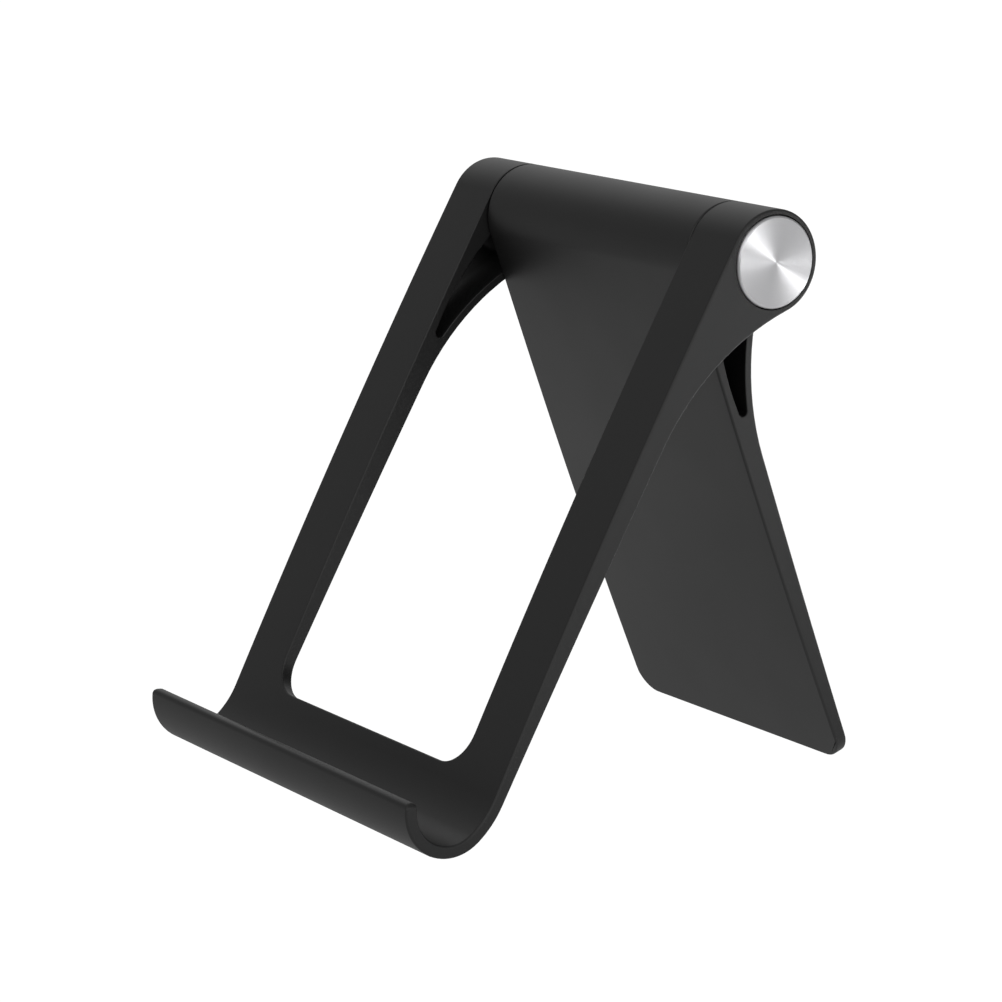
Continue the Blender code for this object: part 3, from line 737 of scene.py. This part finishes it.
def spun_aluminium():
    """Aluminium faced on a lathe: fine rings that fan the light out into opposite bright wedges."""
    made, tree, shader, place = new_material("Spun aluminium")
    centred = node(tree, "ShaderNodeMapping", {"Vector": place, "Location": -AXIS}, vector_type="POINT")
    parts = node(tree, "ShaderNodeSeparateXYZ", {"Vector": centred.outputs[0]})
    flat = node(tree, "ShaderNodeCombineXYZ", {"X": parts.outputs["Y"], "Y": parts.outputs["Z"]})
    radius = node(tree, "ShaderNodeVectorMath", {0: flat.outputs[0]}, operation="LENGTH").outputs["Value"]
    # Feed rings of a facing cut lie about 0.05 mm apart; they are drawn 0.12 mm apart, as fine as shows
    rings = {"W": radius, "Scale": per(0.12)}
    feed = node(tree, "ShaderNodeTexNoise", rings, noise_dimensions="1D").outputs[0]
    base = settings("stand_finishes").aluminium
    vary(tree, shader, base, 0.05, feed, (0.27, 0.33), feed, (0.004 * MM, 0.5))
    outwards = node(tree, "ShaderNodeTangent", direction_type="UV_MAP", uv_map="turning")
    tree.links.new(outwards.outputs[0], shader.inputs["Tangent"])
    shader.inputs["Metallic"].default_value = 1.0
    shader.inputs["Anisotropic"].default_value = 1.0
    return made


def plated_steel(name, base, roughness, patch_mm):
    """Plated or phosphated steel: metal with small soft differences of gloss where the coating grew."""
    made, tree, shader, place = new_material(name)
    coat = {"Vector": place, "Scale": per(patch_mm), "Detail": 4.0}
    patches = node(tree, "ShaderNodeTexNoise", coat).outputs[0]
    glossy, dull = roughness * 0.8, roughness * 1.25
    vary(tree, shader, base, 0.12, patches, (glossy, dull), patches, (0.003 * MM, 0.5))
    shader.inputs["Metallic"].default_value = 1.0
    return made


def dull_solid(name, base, roughness, ior, grain_mm, relief_mm, spread):
    """A non-metal with an even grain in colour, sheen and relief."""
    made, tree, shader, place = new_material(name)
    skin = {"Vector": place, "Scale": per(grain_mm), "Detail": 3.0}
    grain = node(tree, "ShaderNodeTexNoise", skin).outputs[0]
    smooth, rough = roughness * 0.92, min(1, roughness * 1.08)
    vary(tree, shader, base, spread, grain, (smooth, rough), grain, (relief_mm * MM, 0.7))
    shader.inputs["IOR"].default_value = ior
    return made


def finish_named(name, maker):
    return bpy.data.materials.get(name) or maker()


def abs_finish():
    return finish_named("Black ABS, spark-eroded matt", black_abs)


def rubber_finish():
    """Black moulded rubber: almost no sheen, with a skin of fine bumps about 0.1 mm apart."""
    base = settings("stand_finishes").rubber
    return finish_named(
        "Moulded rubber", lambda: dull_solid("Moulded rubber", base, 0.85, 1.52, 0.12, 0.01, 0.15)
    )


def silicone_finish():
    """Satin black silicone: soft broad highlights and a faint haze of fine grain."""
    base = settings("stand_finishes").silicone
    return finish_named(
        "Satin silicone", lambda: dull_solid("Satin silicone", base, 0.62, 1.41, 0.2, 0.006, 0.1)
    )


# ---------------------------------------------------------------------------
# Pieces
# ---------------------------------------------------------------------------


def eased(value, low, high):
    """0 below low, 1 above high, and a smooth rise between them."""
    share = min(1, max(0, (value - low) / (high - low)))
    return share * share * (3 - 2 * share)


def edge_rule(outline, half_width, recess_radius, seam_round, seam_outermost, special):
    """The rounding for each edge of a hanging moulding: outer edges, window edges, seams and rims."""
    size = settings("stand_profile")
    seam_end, plate_start = size.barrel_radius + 1 * MM, size.barrel_radius + 8 * MM

    def radius_at(middle):
        n, s = -middle.y, -middle.z
        from_axis = math.hypot(n, s)
        if distance_to(outline, (n, s)) > ON_SURFACE:
            return size.rim_round if from_axis > recess_radius + ON_SURFACE else size.slot_round
        own = special(abs(middle.x), n, s)
        if own:
            return own
        outermost = abs(middle.x) > half_width - ON_SURFACE
        plate_round = size.edge_round if outermost else size.window_round
        start = seam_round if outermost == seam_outermost else plate_round
        return start + (plate_round - start) * eased(from_axis, seam_end, plate_start)

    return radius_at


class STAND_OT_front_frame(bpy.types.Operator):
    """Mould the front frame: window plate, two ears, hook and lip, with rounded edges"""

    bl_idname = "stand.front_frame"
    bl_label = "Front frame"

    def execute(self, context):
        size, hinge, rubber = settings("stand_frame"), settings("stand_hinge"), settings("stand_rubber")
        profile, pocket = settings("stand_profile"), settings("stand_pocket")
        half = -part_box("front_frame")[0].x
        finish = abs_finish()
        outline = frame_outline()
        blank = along_hinge("stand_front_frame", outline, -half, half, finish)
        opening = size.window_half_width - MARGIN
        cap_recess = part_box("right_end_cap")[1].z - AXIS.z + hinge.recess_clearance
        ear_bore = [
            (half + MARGIN, 0),
            (half + MARGIN, cap_recess),
            (hinge.recess_floor, cap_recess),
            (hinge.recess_floor, hinge.counterbore),
            (hinge.counterbore_floor, hinge.counterbore),
            (hinge.counterbore_floor, hinge.bolt_bore),
            (opening, hinge.bolt_bore),
            (opening, 0),
        ]
        cutters = [through_plate("window_cutter", window_outline(), finish)]
        floor = size.window_half_width + pocket.arm_depth
        for label, side in SIDES:
            cutters.append(turned(f"{label}_ear_cutter", ear_bore, side, finish))
            cutters.append(
                along_hinge(f"{label}_pocket_cutter", pocket_outline(), side * opening, side * floor, finish)
            )
        groove = strip_section(
            size.hook_outer - rubber.strip_groove, size.hook_outer + MARGIN, rubber.strip_half_angle
        )
        groove_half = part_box("hook_foot_strip")[1].x + rubber.gap
        cutters.append(along_hinge("groove_cutter", groove, -groove_half, groove_half, finish))
        moulding = cut_away(blank, cutters)
        own = self.own_edges(half, groove_half)
        rule = edge_rule(outline, half, cap_recess, profile.ear_round, False, own)
        moulding = round_edges(moulding, rule, EDGE_SEGMENTS)
        settle(moulding, -profile.frame_lean)
        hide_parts("front_frame")
        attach(moulding, "frame")
        return {"FINISHED"}

    def own_edges(self, half, groove_half):
        """Radii for the lip's two corners and the rims of the rubber strip's groove."""
        size, profile, rubber = settings("stand_frame"), settings("stand_profile"), settings("stand_rubber")
        outer, inner = (Vector(point) for point in lip_end())
        down = math.pi / 2 - profile.frame_lean

        def own(x, n, s):
            here = Vector((n, s))
            if x > half - ON_SURFACE and (here - (outer + inner) / 2).length < ON_SURFACE:
                return size.lip_corner
            if x < half - ON_SURFACE and min((here - outer).length, (here - inner).length) < ON_SURFACE:
                return size.lip_round
            off = abs(bearing(hook_centre(), (n, s)) - down)
            under = (here - Vector(hook_centre())).length > size.hook_outer - ON_SURFACE
            if under and off < rubber.strip_half_angle + GROOVE_TOLERANCE and x < groove_half + ON_SURFACE:
                return profile.rim_round
            return None

        return own


class STAND_OT_rear_leg(bpy.types.Operator):
    """Mould the rear leg: barrel, gusset and panel, with rounded edges and corners"""

    bl_idname = "stand.rear_leg"
    bl_label = "Rear leg"

    def execute(self, context):
        size, hinge, rubber = settings("stand_leg"), settings("stand_hinge"), settings("stand_rubber")
        profile, pocket = settings("stand_profile"), settings("stand_pocket")
        finish = abs_finish()
        outline = leg_outline()
        blank = along_hinge("stand_rear_leg", outline, -size.half_width, size.half_width, finish)
        end = size.half_width + MARGIN
        half_bore = [
            (end, hinge.friction_bore),
            (hinge.friction_floor, hinge.friction_bore),
            (hinge.friction_floor, hinge.flange_bore),
            (hinge.flange_floor, hinge.flange_bore),
            (hinge.flange_floor, hinge.barrel_bore),
        ]
        other_half = [(-x, radius) for x, radius in reversed(half_bore)]
        cutters = [turned("barrel_cutter", [(end, 0)] + half_bore + other_half + [(-end, 0)], 1, finish)]
        floor = size.half_width - pocket.leg_depth
        for label, side in SIDES:
            rounding = corner_outline(side, size.half_width, size.reach, size.corner)
            cutters.append(through_plate(f"{label}_corner_cutter", rounding, finish))
            cutters.append(
                along_hinge(f"{label}_pocket_cutter", pocket_outline(), side * floor, side * end, finish)
            )
        half_slot, middle = rubber.bead_radius + rubber.bead_clearance, bead_centre()[0]
        slot = [
            (middle - half_slot, size.reach - rubber.bead_depth),
            (middle + half_slot, size.reach - rubber.bead_depth),
            (middle + half_slot, size.reach + MARGIN),
            (middle - half_slot, size.reach + MARGIN),
        ]
        slot_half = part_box("leg_foot_strip")[1].x + rubber.gap
        cutters.append(along_hinge("slot_cutter", slot, -slot_half, slot_half, finish))
        moulding = cut_away(blank, cutters)

        def own(x, n, s):
            on_rim = s > size.reach - ON_SURFACE and abs(n - middle) < half_slot + ON_SURFACE
            return profile.slot_round if on_rim else None

        rule = edge_rule(outline, size.half_width, hinge.friction_bore, profile.barrel_round, True, own)
        moulding = round_edges(moulding, rule, EDGE_SEGMENTS)
        corner_start = size.half_width - size.corner
        split_across(moulding, (-corner_start, corner_start))
        settle(moulding, profile.leg_opening)
        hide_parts("rear_leg")
        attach(moulding, "leg")
        return {"FINISHED"}


class STAND_OT_end_caps(bpy.types.Operator):
    """Turn the two aluminium end caps"""

    bl_idname = "stand.end_caps"
    bl_label = "End caps"

    def execute(self, context):
        chamfer = settings("stand_hinge").cap_chamfer
        finish = finish_named("Spun aluminium", spun_aluminium)
        for label, side in SIDES:
            low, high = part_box(f"{label}_end_cap")
            radius = (high.z - low.z) / 2
            inner, outer = sorted((abs(low.x), abs(high.x)))
            face = [(outer, radius * i / CAP_RINGS) for i in range(CAP_RINGS)]
            profile = face + [
                (outer, radius - chamfer),
                (outer - chamfer, radius),
                (inner, radius),
                (inner, 0),
            ]
            cap = turned(f"stand_{label}_end_cap", profile, side, finish)
            self.unroll(cap)
            settle(cap, 0)
            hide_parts(f"{label}_end_cap")
            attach(cap, "frame")
        return {"FINISHED"}

    def unroll(self, cap):
        """A UV map whose U runs outwards and V round the axis, so that highlights fan out along U."""
        layer = cap.data.uv_layers.new(name="turning")
        for face in cap.data.polygons:
            middle = math.atan2(face.center.z, face.center.y)
            for loop in face.loop_indices:
                point = cap.data.vertices[cap.data.loops[loop].vertex_index].co
                radius = math.hypot(point.y, point.z)
                turn = math.atan2(point.z, point.y) if radius > WELD else middle
                turn += 2 * math.pi * round((middle - turn) / (2 * math.pi))
                layer.data[loop].uv = (radius / TURNING_UNIT, turn / (2 * math.pi))


class STAND_OT_rubber(bpy.types.Operator):
    """Fit the rubber strip under the hook, the bead in the leg's edge and the silicone pad"""

    bl_idname = "stand.rubber"
    bl_label = "Rubber and silicone"

    def execute(self, context):
        self.foot_strip()
        self.leg_bead()
        self.pad()
        return {"FINISHED"}

    def foot_strip(self):
        hook, profile, rubber = settings("stand_frame"), settings("stand_profile"), settings("stand_rubber")
        down = math.pi / 2 - profile.frame_lean
        half_width = hook.hook_outer * math.sin(rubber.strip_half_angle) - rubber.gap
        inner = hook.hook_outer - rubber.strip_groove + rubber.gap
        reach = hook.hook_outer + rubber.strip_proud
        edge = math.asin(half_width / inner)
        land = math.atan2(half_width, reach)
        corners = [
            (hook_centre()[0] - math.hypot(half_width, reach) * math.cos(a),
             hook_centre()[1] + math.hypot(half_width, reach) * math.sin(a))
            for a in (down + land, down - land)
        ]
        section = arc(hook_centre(), inner, down - edge, down + edge) + corners
        self.fit("hook_foot_strip", section, rubber_finish(), "foot_rubber", "frame", -profile.frame_lean)

    def leg_bead(self):
        size, rubber, profile = settings("stand_leg"), settings("stand_rubber"), settings("stand_profile")
        centre, top = bead_centre(), size.reach - rubber.bead_depth + rubber.gap
        section = arc(centre, rubber.bead_radius, 0, math.pi)[::3]
        section += [(centre[0] + rubber.bead_radius, top), (centre[0] - rubber.bead_radius, top)]
        self.fit("leg_foot_strip", section, rubber_finish(), "foot_rubber", "leg", profile.leg_opening)

    def pad(self):
        hook, profile, rubber = settings("stand_frame"), settings("stand_profile"), settings("stand_rubber")
        outer = hook.hook_inner - rubber.gap
        inner = outer - rubber.pad_thickness
        section = arc(hook_centre(), inner, rubber.pad_start, rubber.pad_end)
        section += arc(hook_centre(), outer, rubber.pad_end, rubber.pad_start)
        self.fit("hook_pad", section, silicone_finish(), "silicone", "frame", -profile.frame_lean)

    def fit(self, cad_node, section, finish, slot, body, lean):
        """A strip as long as its CAD solid, with softened edges."""
        low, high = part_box(cad_node)
        strip = along_hinge(f"stand_{cad_node}", section, low.x, high.x, finish)
        soft_edge = settings("stand_rubber").soft_edge
        strip = round_edges(strip, lambda middle: soft_edge, STRIP_SEGMENTS)
        settle(strip, lean)
        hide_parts(cad_node)
        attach(strip, body)


class STAND_OT_hinge_finishes(bpy.types.Operator):
    """Give the hinge hardware inside the barrel its finishes"""

    bl_idname = "stand.hinge_finishes"
    bl_label = "Hinge hardware"

    def execute(self, context):
        colours = settings("stand_finishes")
        zinc = plated_steel("Bright zinc on steel", colours.zinc, 0.32, 1.2)
        # Phosphate is a dark crystalline coat, oiled, so its gloss is low and uneven
        spring = plated_steel("Phosphated spring steel", colours.phosphate, 0.5, 0.3)
        # Natural acetal is waxy white, turned from rod
        acetal = dull_solid("Natural acetal", colours.acetal, 0.42, 1.48, 0.4, 0.003, 0.04)
        # Pressed fibre compound shows mixed light and dark crumbs about 0.3 mm across
        friction = dull_solid("Friction compound", colours.friction, 0.82, 1.5, 0.3, 0.012, 0.45)
        # Foam tape has a matt open-cell edge
        foam = dull_solid("Acrylic foam tape", colours.adhesive, 0.9, 1.45, 0.25, 0.02, 0.1)
        finishes = {
            "hinge_bolt": (zinc, "zinc_steel"),
            "hinge_lock_nut": (zinc, "zinc_steel"),
            "spacer_tube": (zinc, "zinc_steel"),
        }
        for label, _ in SIDES:
            finishes[f"{label}_washer"] = (zinc, "zinc_steel")
            finishes[f"{label}_disc_spring"] = (spring, "spring_steel")
            finishes[f"{label}_bush"] = (acetal, "acetal")
            finishes[f"{label}_friction_disc"] = (friction, "friction")
            finishes[f"{label}_cap_adhesive"] = (foam, "adhesive")
        for name, (finish, slot) in finishes.items():
            piece = frame["nodes"][name]
            piece.data.materials.clear()
            piece.data.materials.append(finish)
        return {"FINISHED"}


class STAND_OT_stage(bpy.types.Operator):
    """Set up the white table, the soft studio light and the camera"""

    bl_idname = "stand.stage"
    bl_label = "Stage"

    def execute(self, context):
        self.table()
        self.studio()
        self.camera()
        return {"FINISHED"}

    def table(self):
        """A wide white table, level with the feet, whose glow is painted: painted shade round the stand and
        a painted bright band behind it.
        """
        stage, colours = settings("stand_stage"), settings("stand_finishes")
        reach, floor_z = TABLE_REACH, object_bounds()[0].z
        mesh = bpy.data.meshes.new("table")
        square = ((-reach, -reach), (reach, -reach), (reach, reach), (-reach, reach))
        corners = [(x, y, floor_z) for x, y in square]
        mesh.from_pydata(corners, [], [(0, 1, 2, 3)])
        table = bpy.data.objects.new("table", mesh)
        bpy.context.scene.collection.objects.link(table)
        made, tree, shader, place = new_material("White table, painted glow")
        parts = node(tree, "ShaderNodeSeparateXYZ", {"Vector": place})
        base = node(
            tree,
            "ShaderNodeMapRange",
            {
                "Value": parts.outputs["Y"],
                "From Min": FRONT_ENDS,
                "From Max": BACK_STARTS,
                "To Min": stage.table_front,
                "To Max": stage.table_back,
            },
            interpolation_type="SMOOTHSTEP",
        )
        # Painted shade: the glow fades towards the stand's middle, painted where its shadow would fall
        reach_out = node(tree, "ShaderNodeVectorMath", {0: place}, operation="LENGTH")
        shade = node(
            tree,
            "ShaderNodeMapRange",
            {"Value": reach_out.outputs["Value"], "From Max": SHADE_REACH, "To Min": 1 - stage.painted_table_shade},
            interpolation_type="SMOOTHSTEP",
        )
        glow_with_painted_shade = node(tree, "ShaderNodeMath", {0: base.outputs[0], 1: shade.outputs[0]}, operation="MULTIPLY")
        off = node(tree, "ShaderNodeMath", {0: parts.outputs["Y"], 1: BAND_MIDDLE}, operation="SUBTRACT")
        away = node(tree, "ShaderNodeMath", {0: off.outputs[0]}, operation="ABSOLUTE")
        band = node(
            tree,
            "ShaderNodeMapRange",
            {
                "Value": away.outputs[0],
                "From Min": BAND_HALF - BAND_SOFT,
                "From Max": BAND_HALF + BAND_SOFT,
                "To Min": stage.painted_table_band,
                "To Max": 0.0,
            },
            interpolation_type="SMOOTHSTEP",
        )
        # The painted band has a break in its middle, so only its ends fan out over the end cap
        along = node(tree, "ShaderNodeMath", {0: parts.outputs["X"], 1: BREAK_MIDDLE}, operation="SUBTRACT")
        along_off = node(tree, "ShaderNodeMath", {0: along.outputs[0]}, operation="ABSOLUTE")
        band_unbroken = node(
            tree,
            "ShaderNodeMapRange",
            {"Value": along_off.outputs[0], "From Min": BREAK_NEAR, "From Max": BREAK_FAR},
            interpolation_type="SMOOTHSTEP",
        )
        ends = node(tree, "ShaderNodeMath", {0: band.outputs[0], 1: band_unbroken.outputs[0]}, operation="MULTIPLY")
        level = node(tree, "ShaderNodeMath", {0: glow_with_painted_shade.outputs[0], 1: ends.outputs[0]}, operation="MAXIMUM")
        # The camera sees the table as plain white; every other ray sees its painted glow, darker in front,
        # with the painted shade and band
        path = tree.nodes.new("ShaderNodeLightPath")
        seen = node(
            tree,
            "ShaderNodeMapRange",
            {"Value": path.outputs["Is Camera Ray"], "To Min": level.outputs[0], "To Max": stage.white},
        )
        tree.links.new(seen.outputs[0], shader.inputs["Emission Strength"])
        shader.inputs["Emission Color"].default_value = (*colours.floor, 1)
        shader.inputs["Base Color"].default_value = (0, 0, 0, 1)
        shader.inputs["Specular IOR Level"].default_value = 0.0
        mesh.materials.append(made)
        table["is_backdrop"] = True

    def studio(self):
        """A dim even studio with three wide soft boxes."""
        stage = settings("stand_stage")
        world = bpy.data.worlds.new("Studio")
        world.use_nodes = True
        bpy.context.scene.world = world
        tree = world.node_tree
        way = tree.nodes.new("ShaderNodeTexCoord").outputs["Generated"]
        total = node(tree, "ShaderNodeValue").outputs[0]
        total.default_value = stage.dim_studio
        for *angles, brightness in SOFT_BOXES:
            azimuth, elevation, outer, inner = (math.radians(degrees) for degrees in angles)
            flat = math.cos(elevation)
            centre = (math.sin(azimuth) * flat, -math.cos(azimuth) * flat, math.sin(elevation))
            facing = node(tree, "ShaderNodeVectorMath", {0: way, 1: centre}, operation="DOT_PRODUCT")
            glow = node(
                tree,
                "ShaderNodeMapRange",
                {
                    "Value": facing.outputs["Value"],
                    "From Min": math.cos(outer),
                    "From Max": math.cos(inner),
                    "To Max": getattr(stage, brightness),
                },
                interpolation_type="SMOOTHSTEP",
            )
            total = node(tree, "ShaderNodeMath", {0: total, 1: glow.outputs[0]}, operation="ADD").outputs[0]
        light = tree.nodes["Background"]
        light.inputs["Color"].default_value = (1, 1, 1, 1)
        tree.links.new(total, light.inputs["Strength"])

    def camera(self):
        """The camera on its orbit round the aim point, with its small roll."""
        stage = settings("stand_stage")
        aim = AXIS + Vector(AIM)
        azimuth, elevation, roll = stage.azimuth, stage.elevation, stage.roll
        back = Vector(
            (
                math.sin(azimuth) * math.cos(elevation),
                -math.cos(azimuth) * math.cos(elevation),
                math.sin(elevation),
            )
        )
        level = Vector((math.cos(azimuth), math.sin(azimuth), 0))
        upright = back.cross(level)
        right = level * math.cos(roll) + upright * math.sin(roll)
        up = upright * math.cos(roll) - level * math.sin(roll)
        data = bpy.data.cameras.new("camera")
        data.lens = stage.lens
        data.clip_start = 0.01
        camera = bpy.data.objects.new("camera", data)
        bpy.context.scene.collection.objects.link(camera)
        turn = Matrix((right, up, back)).transposed().to_4x4()
        camera.matrix_world = Matrix.Translation(aim + back * stage.distance) @ turn
        bpy.context.scene.camera = camera
        bpy.context.scene.view_settings.view_transform = "Standard"


OPERATORS = (
    STAND_OT_front_frame,
    STAND_OT_rear_leg,
    STAND_OT_end_caps,
    STAND_OT_rubber,
    STAND_OT_hinge_finishes,
    STAND_OT_stage,
)
GROUPS = {
    "stand_profile": StandProfileSizes,
    "stand_frame": StandFrameSizes,
    "stand_leg": StandLegSizes,
    "stand_pocket": StandPocketSizes,
    "stand_hinge": StandHingeSizes,
    "stand_rubber": StandRubberSizes,
    "stand_finishes": StandFinishes,
    "stand_stage": StandStage,
}


class STAND_PT_panel(bpy.types.Panel):
    """The stand's pieces, its stage and what can be changed"""

    bl_idname = "STAND_PT_panel"
    bl_label = "Folding phone stand"
    bl_space_type = "VIEW_3D"
    bl_region_type = "UI"
    bl_category = "Phone stand"

    def draw(self, context):
        for operator in OPERATORS:
            self.layout.operator(operator.bl_idname)
        for name, group in GROUPS.items():
            box = self.layout.box()
            for key in group.__annotations__:
                box.prop(getattr(context.scene, name), key)


def register():
    for name, group in GROUPS.items():
        bpy.utils.register_class(group)
        setattr(bpy.types.Scene, name, PointerProperty(type=group))
    for operator in OPERATORS:
        bpy.utils.register_class(operator)
    bpy.utils.register_class(STAND_PT_panel)


def unregister():
    bpy.utils.unregister_class(STAND_PT_panel)
    for operator in reversed(OPERATORS):
        bpy.utils.unregister_class(operator)
    for name, group in GROUPS.items():
        delattr(bpy.types.Scene, name)
        bpy.utils.unregister_class(group)


def main():
    register()
    bpy.ops.stand.front_frame()
    bpy.ops.stand.rear_leg()
    bpy.ops.stand.end_caps()
    bpy.ops.stand.rubber()
    bpy.ops.stand.hinge_finishes()
    bpy.ops.stand.stage()
    boxes = {"cad": CAD_BOX, "visual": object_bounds()}
    {name: [list(low), list(high)] for name, (low, high) in boxes.items()}


if __name__ == "__main__":
    main()
